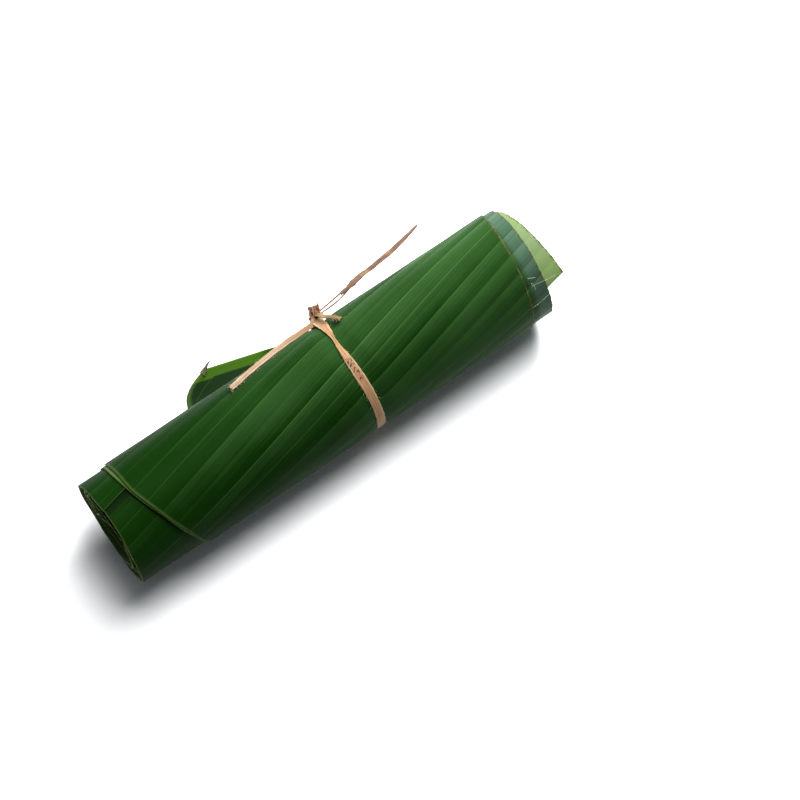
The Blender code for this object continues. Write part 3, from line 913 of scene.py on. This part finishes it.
def band_path():
    """The turn round the roll, lying on the leaf and lifted over the step at its loose edge."""
    turns = np.linspace(0, 1, BAND_STATIONS)
    shape = np.array(BAND_SHAPE)
    half, shift, fold = (np.interp(turns, shape[:, 0], shape[:, k]) for k in (1, 2, 3))
    soft = np.ones(BAND_SMOOTHED) / BAND_SMOOTHED
    half, shift, fold = (np.convolve(np.pad(v, BAND_SMOOTHED // 2, "wrap"), soft, "valid")
                         for v in (half, shift, fold))
    psi = KNOT_PSI - 360 * turns
    edge_psi = math.degrees(VEIN_TURN * (TIE_X - LOOSE_EDGE_X))
    wound = np.where(psi < edge_psi, psi + 360, psi)
    lifted = smoothstep(348, 384, wound)
    seat = GROOVE_DEPTH - 0.3 - STRIP_THICKNESS / 2
    depth = seat + (1 - lifted) * wrap_depth(wound / 360)
    depth = depth - KNOT_LIFT * (1 - smoothstep(0, KNOT_LIFT_TURNS, np.minimum(turns, 1 - turns)))
    way = (wound, TIE_X + shift, depth)
    return roll_points(*way), outward_of(*way), half, fold


def strand_path(keys, count):
    """A tail's or strand's path from its keys: centres, the ways its face looks, half widths and folds."""
    psi, x, depth, half, facing, fold = spline(keys, count).T
    facing = np.radians(facing)
    ups = np.stack((np.zeros(count), np.cos(facing), np.sin(facing)), axis=1)
    return roll_points(psi, x, depth), ups, half, fold


def knot_frame(depth=0.1, tilt=0.0):
    """A point on the knot's own line and three ways from it: along the roll, onwards round it, and outwards."""
    beta = math.radians(LOOSE_EDGE_ANGLE - KNOT_PSI + tilt)
    outward = np.array((0, math.cos(beta), math.sin(beta)))
    onward = np.array((0, math.sin(beta), -math.cos(beta)))
    return roll_points(KNOT_PSI, KNOT_X, depth).reshape(3), np.array((1, 0, 0)), onward, outward


def knot_loop(name, size, height, half, turned, seed, finish, depth, tilt):
    """A crumpled loop of the overhand knot."""
    centre, across, onward, outward = knot_frame(depth, tilt)
    t = np.linspace(0, 2 * math.pi, LOOP_STATIONS)
    flat_x = size * (np.sin(t) + 2 * np.sin(2 * t))
    flat_y = 0.8 * size * (np.cos(t) - 2 * np.cos(2 * t))
    c, s = math.cos(turned), math.sin(turned)
    flat_x, flat_y = c * flat_x - s * flat_y, s * flat_x + c * flat_y
    away = flat_x[:, None] * across + flat_y[:, None] * onward
    centres = centre + MM * (away - height * np.sin(3 * t)[:, None] * outward)
    lean = np.cos(3 * t)[:, None]
    ups = outward * (0.6 + 0.4 * lean) + unit(away) * (0.7 - 0.3 * lean)
    halves = half * (1 + 0.2 * np.sin(5 * t + seed))
    return strip_mesh(name, centres, ups, halves, finish, seed, 0.5, columns=8, closed=True, ragged=0.2, ribs=0.16)


def tuft_strip(k, finish):
    """One torn end in the tuft, which narrows to its tip."""
    draw = np.random.default_rng(100 + k)
    centre, across, onward, outward = knot_frame(-1.5)
    share = k / (TUFT_STRIPS - 1) * 2 - 1
    t = np.linspace(0, 1, TUFT_STATIONS)[:, None]
    reach = TUFT_HEIGHT * (0.92 - 0.12 * share) * draw.uniform(0.85, 1.0)
    sideways = 2.3 * share * (0.75 + 0.35 * t) - 1.2 + 3.4 * t + draw.uniform(-0.5, 0.5) * t ** 2
    forward = -0.5 + draw.uniform(-1.2, 1.2) * (0.5 + 0.5 * t) + 0.9 * np.sin(3 * t + k)
    centres = centre + MM * (sideways * across + forward * onward + reach * t * outward)
    lean = math.radians(100 + draw.uniform(-45, 45))
    facing = (0.5 * draw.uniform(-1, 1), math.cos(lean), math.sin(lean))
    half = draw.uniform(1.1, 1.7) * (1.0 - 0.35 * t[:, 0] ** 2)
    return strip_mesh("tie_tuft_strip_%d" % (k + 1), centres, np.broadcast_to(facing, (TUFT_STATIONS, 3)), half,
                      finish, 200 + k, 0.35, columns=5, ragged=0.3, torn=1.1, ribs=0.12)


def knot_line(span, heading, height):
    """A short line across the knot for fibres to stand on."""
    centre, across, onward, outward = knot_frame()
    shares = np.linspace(-0.5, 0.5, 9)[:, None]
    points = centre + MM * (span * shares * across + height * outward)
    ways = heading[0] * across + heading[1] * onward + heading[2] * outward - 0.5 * shares * across
    return edge_line(points, ways)


# ---- Loose hairs, drawn one by one ----

# Whiskers at the right end: points of psi, x and depth. The last one loops out past the cut.
WHISKERS = [
    [(230.3, 133.4, -0.1), (229.6, 137.7, -0.7), (228.2, 143.7, -1.0), (227.4, 149.0, -1.2)],
    [(238.8, 133.4, -0.1), (237.4, 135.6, -0.6), (236.0, 137.8, -0.9)],
    [(208.8, 128.9, -0.1), (209.6, 133.0, -0.4), (211.2, 137.6, -0.5), (212.2, 140.7, -0.6)],
    [(233.0, 133.9, -0.1), (230.4, 135.0, -0.5), (225.0, 134.4, -0.4)],
    [(221, 155.3, 1.6), (216, 155.0, 1.2), (210, 152.6, 0.8), (205, 148.8, 0.6), (203, 145.0, 0.8),
     (204, 142.6, 1.2)],
]
HAIR_STATIONS = 28

# The torn tip at the corner of the loose end: points in millimetres
TORN_TIP = [(-52.2, 45.6, 14.5), (-50.4, 46.0, 16.4), (-49.0, 46.5, 19.0), (-47.3, 47.1, 22.2),
            (-44.6, 47.5, 25.2)]
TIP_STATIONS = 14


def torn_tip(finish):
    """The torn tip that stands at the corner of the loose end."""
    centres = spline(TORN_TIP, TIP_STATIONS) * MM
    ups = np.broadcast_to((-0.6, -0.1, 0.8), (TIP_STATIONS, 3))
    half = np.linspace(1.0, 0, TIP_STATIONS) * 2.0 + 0.25
    return strip_mesh("leaf_torn_tip", centres, ups, half, finish, 31, columns=4, ragged=0.2, ribs=0.02)


# ---- Floor, light and camera ----

FLOOR_REACH, FLOOR_Z = 3, -0.0001
SKY_COLOUR, SKY_STRENGTH = (0.9, 0.95, 1.0, 1), 0.14
# Name, place, size and power of each lamp
LAMPS = [("sheen", (0.36, 0.29, 0.29), 0.24, 6.0), ("overhead", (0.5, 0.4, 1.5), 1.0, 54.0)]
CAMERA_ELEVATION = math.radians(73)
ROLL_LEAN = math.radians(33.7)
CAMERA_DISTANCE = 2.6
CAMERA_LENS = 195
ROLL_OFF_CENTRE = (0.0449, -0.0062)


def studio():
    a, b = -FLOOR_REACH, FLOOR_REACH
    floor = mesh_object("floor", [(a, a, 0), (b, a, 0), (b, b, 0), (a, b, 0)], [(0, 1, 2, 3)])
    made, tree, shader = new_material("floor_paper")
    feed(tree, shader, {"Base Color": (0.86, 0.87, 0.88, 1), "Roughness": 0.9, "Specular IOR Level": 0.1})
    floor.data.materials.append(made)
    floor.location.z = FLOOR_Z

    world = bpy.data.worlds.new("studio")
    world.use_nodes = True
    feed(world.node_tree, world.node_tree.nodes["Background"], {0: SKY_COLOUR, 1: SKY_STRENGTH})
    bpy.context.scene.world = world
    for name, place, size, power in LAMPS:
        lamp = bpy.data.lights.new(name, "AREA")
        lamp.shape = "SQUARE"
        lamp.size = size
        lamp.energy = power
        obj = new_object(name, lamp)
        obj.location = place
        obj.rotation_euler = (-Vector(place)).to_track_quat("-Z", "Y").to_euler()
        obj.visible_camera = False


def camera():
    """Looks down on the roll, which leans across the picture as in the photograph."""
    across = math.tan(ROLL_LEAN) / math.sin(CAMERA_ELEVATION)
    side = Vector((-across, -1)).normalized() * math.cos(CAMERA_ELEVATION)
    towards = Vector((side.x, side.y, math.sin(CAMERA_ELEVATION)))
    right = Vector((-towards.y, towards.x, 0)).normalized()
    upwards = towards.cross(right)
    target = Vector((0, AXIS_Y * MM, AXIS_Z * MM)) + right * ROLL_OFF_CENTRE[0] + upwards * ROLL_OFF_CENTRE[1]
    data = bpy.data.cameras.new("camera")
    data.lens = CAMERA_LENS
    data.clip_end = 20
    obj = new_object("camera", data)
    obj.location = target + towards * CAMERA_DISTANCE
    obj.rotation_mode = "QUATERNION"
    obj.rotation_quaternion = Matrix((right, upwards, towards)).transposed().to_quaternion()
    bpy.context.scene.camera = obj


# ---- Making ----


def dressed(piece):
    """Lets a piece ride on the roll."""
    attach(piece, "root")
    return piece


def grown(name, slot, line, tree, **values):
    """Grows fibres or a thread on a line, as one piece."""
    run_tree(line, tree, **values)
    dressed(made_plain(line, name))


def leaves():
    veins = vein_group()
    pleats = pleat_tree()
    rim = rim_material()
    face = (veins, DEEP_GREEN, LEAF_GREEN, RIB_GREEN, 0.5, 0.022)
    upper = blade_face("leaf_upper", *face, 0.4, margin_share=0.36)
    core_upper = blade_face("leaf_upper_core", *face, 0.4, margin_width=0.0009, first_edge=True)
    bluish = blade_face("leaf_upper_blue_end", *face, 0.25, margin_width=0.0034, margin_share=0.85,
                        cut_end=(BLUE_GREEN_DEEP, BLUE_GREEN, 0.007, 0.012))
    pale_end = blade_face("leaf_upper_pale_end", *face, 0.12, margin_width=0.0009, shaded_step=True,
                          cut_end=(TONGUE_BACKLIT_GREEN, TONGUE_BACKLIT_PALE, 0.02, 0.032), corner=TONGUE_CORNER_LIGHT)
    # The outer two leaves' undersides carry painted shade; the core's undersides carry painted light
    shaded = (veins, UNDER_SHADED_DEEP, UNDER_SHADED_GREEN, UNDER_SHADED_GREEN, 0.6, 0.06, 0.4)
    under = blade_face("leaf_under", *shaded, margin_width=0.001, margin_share=0.15)
    loose_under = blade_face("leaf_under_loose_end", *shaded, margin_width=0.004, margin_share=0.45,
                             loose=FLAP_BACKLIT_GREEN)
    # Its wide margin band is painted light on the inner faces at the roll's open end
    pale_under = blade_face("leaf_under_pale", veins, PALE_LIT_DEEP, PALE_LIT_GREEN, PALE_LIT_GREEN, 0.6, 0.15, 0.3,
                            margin_width=0.014, margin_share=0.8)
    faces = {"leaf_outer": (upper, loose_under, rim), "leaf_second": (bluish, under, rim),
             "leaf_third": (core_upper, pale_under, rim), "leaf_fourth": (pale_end, pale_under, rim)}
    for seed, name in enumerate(LEAVES, start=1):
        height = TONGUE_PLEAT_HEIGHT if name == "leaf_fourth" else PLEAT_HEIGHT
        blade = dressed(leaf_piece(name, seed, pleats, faces[name], height))
        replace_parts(blade, name)


def leaf_fibres(fibres, thread):
    dry = fibre_material("dry_leaf_fibre", (0.13, 0.15, 0.045), (0.045, 0.032, 0.01))
    edge = edge_line(*cut_edge("leaf_outer", 1))
    grown("leaf_outer_edge_thread", "leaf_green", edge, thread, radius=0.1 * MM, seed=1.0, material=dry)
    pale_hair = fibre_material("pale_hair", (0.5, 0.52, 0.42), (0.3, 0.32, 0.2))
    for name, seed, count in (("leaf_outer", 1, 90), ("leaf_second", 2, 16)):
        points, out = cut_edge(name, seed)
        ways = np.array((0.5, 0, 0)) - out * 0.06
        ways[:, 1:] += 0.5 * np.gradient(points, axis=0)[:, 1:] / MM
        grown(name + "_edge_fibres", "leaf_green", edge_line(points, ways), fibres, count=count, length=1.7 * MM,
              slimness=0.036, splay=0.35, seed=seed, material=dry)
    dressed(torn_tip(fibre_material("torn_leaf", (0.09, 0.125, 0.03), (0.2, 0.19, 0.08))))
    for k, keys in enumerate(WHISKERS, start=1):
        hair = edge_line(roll_points(*spline(keys, HAIR_STATIONS).T), np.zeros((HAIR_STATIONS, 3)))
        grown("leaf_whisker_%d" % k, "leaf_green", hair, thread, radius=0.062 * MM, wander_size=120.0,
              seed=float(k), material=pale_hair)


def tie(fibres):
    strip = strip_material("dried_strip", STRAW, STRAW_DEEP, RED_BROWN, 0.25, spots=True)
    pale = strip_material("pale_dried_strip", PALE_STRAW, PALE_STRAW_DEEP, RED_BROWN, 0.18, by_knot=KNOT_STRAW)
    brown = strip_material("brown_dried_strip", (0.17, 0.09, 0.052), (0.045, 0.02, 0.01), STRAW, 0.45)
    red = strip_material("red_brown_strip", (0.2, 0.074, 0.034), (0.05, 0.017, 0.008), STRAW, 0.3)
    olive = strip_material("olive_brown_strip", (0.2, 0.125, 0.042), (0.065, 0.034, 0.012), STRAW, 0.25)
    red_fibre = fibre_material("red_brown_fibre", (0.2, 0.08, 0.038), (0.07, 0.026, 0.012))
    straw_fibre = fibre_material("straw_fibre", STRAW, STRAW_DEEP)

    *band_way, fold = band_path()
    band = strip_mesh("tie_band", *band_way, strip, 3, fold, closed=True, ragged=0.06)
    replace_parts(dressed(band), "tie")
    ways = {}
    for name, keys, finish, count, seed, columns, torn in (
            ("tie_pale_tail", PALE_TAIL, pale, 100, 11, 9, 2.8),
            ("tie_dark_tail", DARK_TAIL, brown, 100, 12, 6, 1.2),
            ("tie_upper_strand", UPPER_STRAND, brown, 50, 13, 3, 0.0),
            ("tie_lower_strand", LOWER_STRAND, brown, 50, 14, 3, 0.0),
            ("tie_short_strand", SHORT_STRAND, olive, 34, 15, 6, 2.2)):
        *ways[name], fold = strand_path(keys, count)
        dressed(strip_mesh(name, *ways[name], finish, seed, fold, columns=columns, torn=torn))
    dressed(knot_loop("tie_knot_lower_loop", 1.5, 1.1, 1.9, 0.4, 21, red, -2.1, 28))
    dressed(knot_loop("tie_knot_upper_loop", 1.1, 0.9, 1.5, 1.9, 22, red, -3.2, 40))
    for k in range(TUFT_STRIPS):
        dressed(tuft_strip(k, red if k % 3 else brown))

    # Fringes: the strip's way, which side, between which shares of its length, and how many fibres
    tail, short = ways["tie_pale_tail"], ways["tie_short_strand"]
    for seed, (name, way, side, start, stop, count) in enumerate((
            ("tie_band_fringe_right", band_way, 1, 0.22, 0.6, 40),
            ("tie_band_fringe_left", band_way, -1, 0.1, 0.6, 24),
            ("tie_tail_fringe_front", tail, -1, 0.2, 0.99, 46),
            ("tie_tail_fringe_back", tail, 1, 0.2, 0.99, 22),
            ("tie_short_strand_fringe_1", short, -1, 0.35, 0.98, 16),
            ("tie_short_strand_fringe_2", short, 1, 0.35, 0.98, 16)), start=41):
        grown(name, "dried_strip", strip_fringe(*way, side, start, stop), fibres, count=count, length=2.3 * MM,
              slimness=0.05, seed=seed, material=straw_fibre)
    tuft, knot = knot_line(4.6, (0.35, 0.0, 1.0), 1.6), knot_line(8.4, (0.0, 0.5, 0.6), 3.0)
    grown("tie_tuft_fibres", "dried_strip", tuft, fibres, count=46, length=8.0 * MM, shortest=0.4,
          slimness=0.018, bend=0.14, splay=0.3, flatness=2.0, seed=4, material=red_fibre)
    grown("tie_knot_fibres", "dried_strip", knot, fibres, count=40, length=3.8 * MM, shortest=0.3,
          slimness=0.022, splay=0.9, flatness=1.6, seed=9, material=straw_fibre)


def main():
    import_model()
    bpy.context.scene.view_settings.view_transform = "Standard"
    studio()
    camera()
    fibres = fibre_tree()
    thread = thread_tree()
    leaves()
    leaf_fibres(fibres, thread)
    tie(fibres)


main()
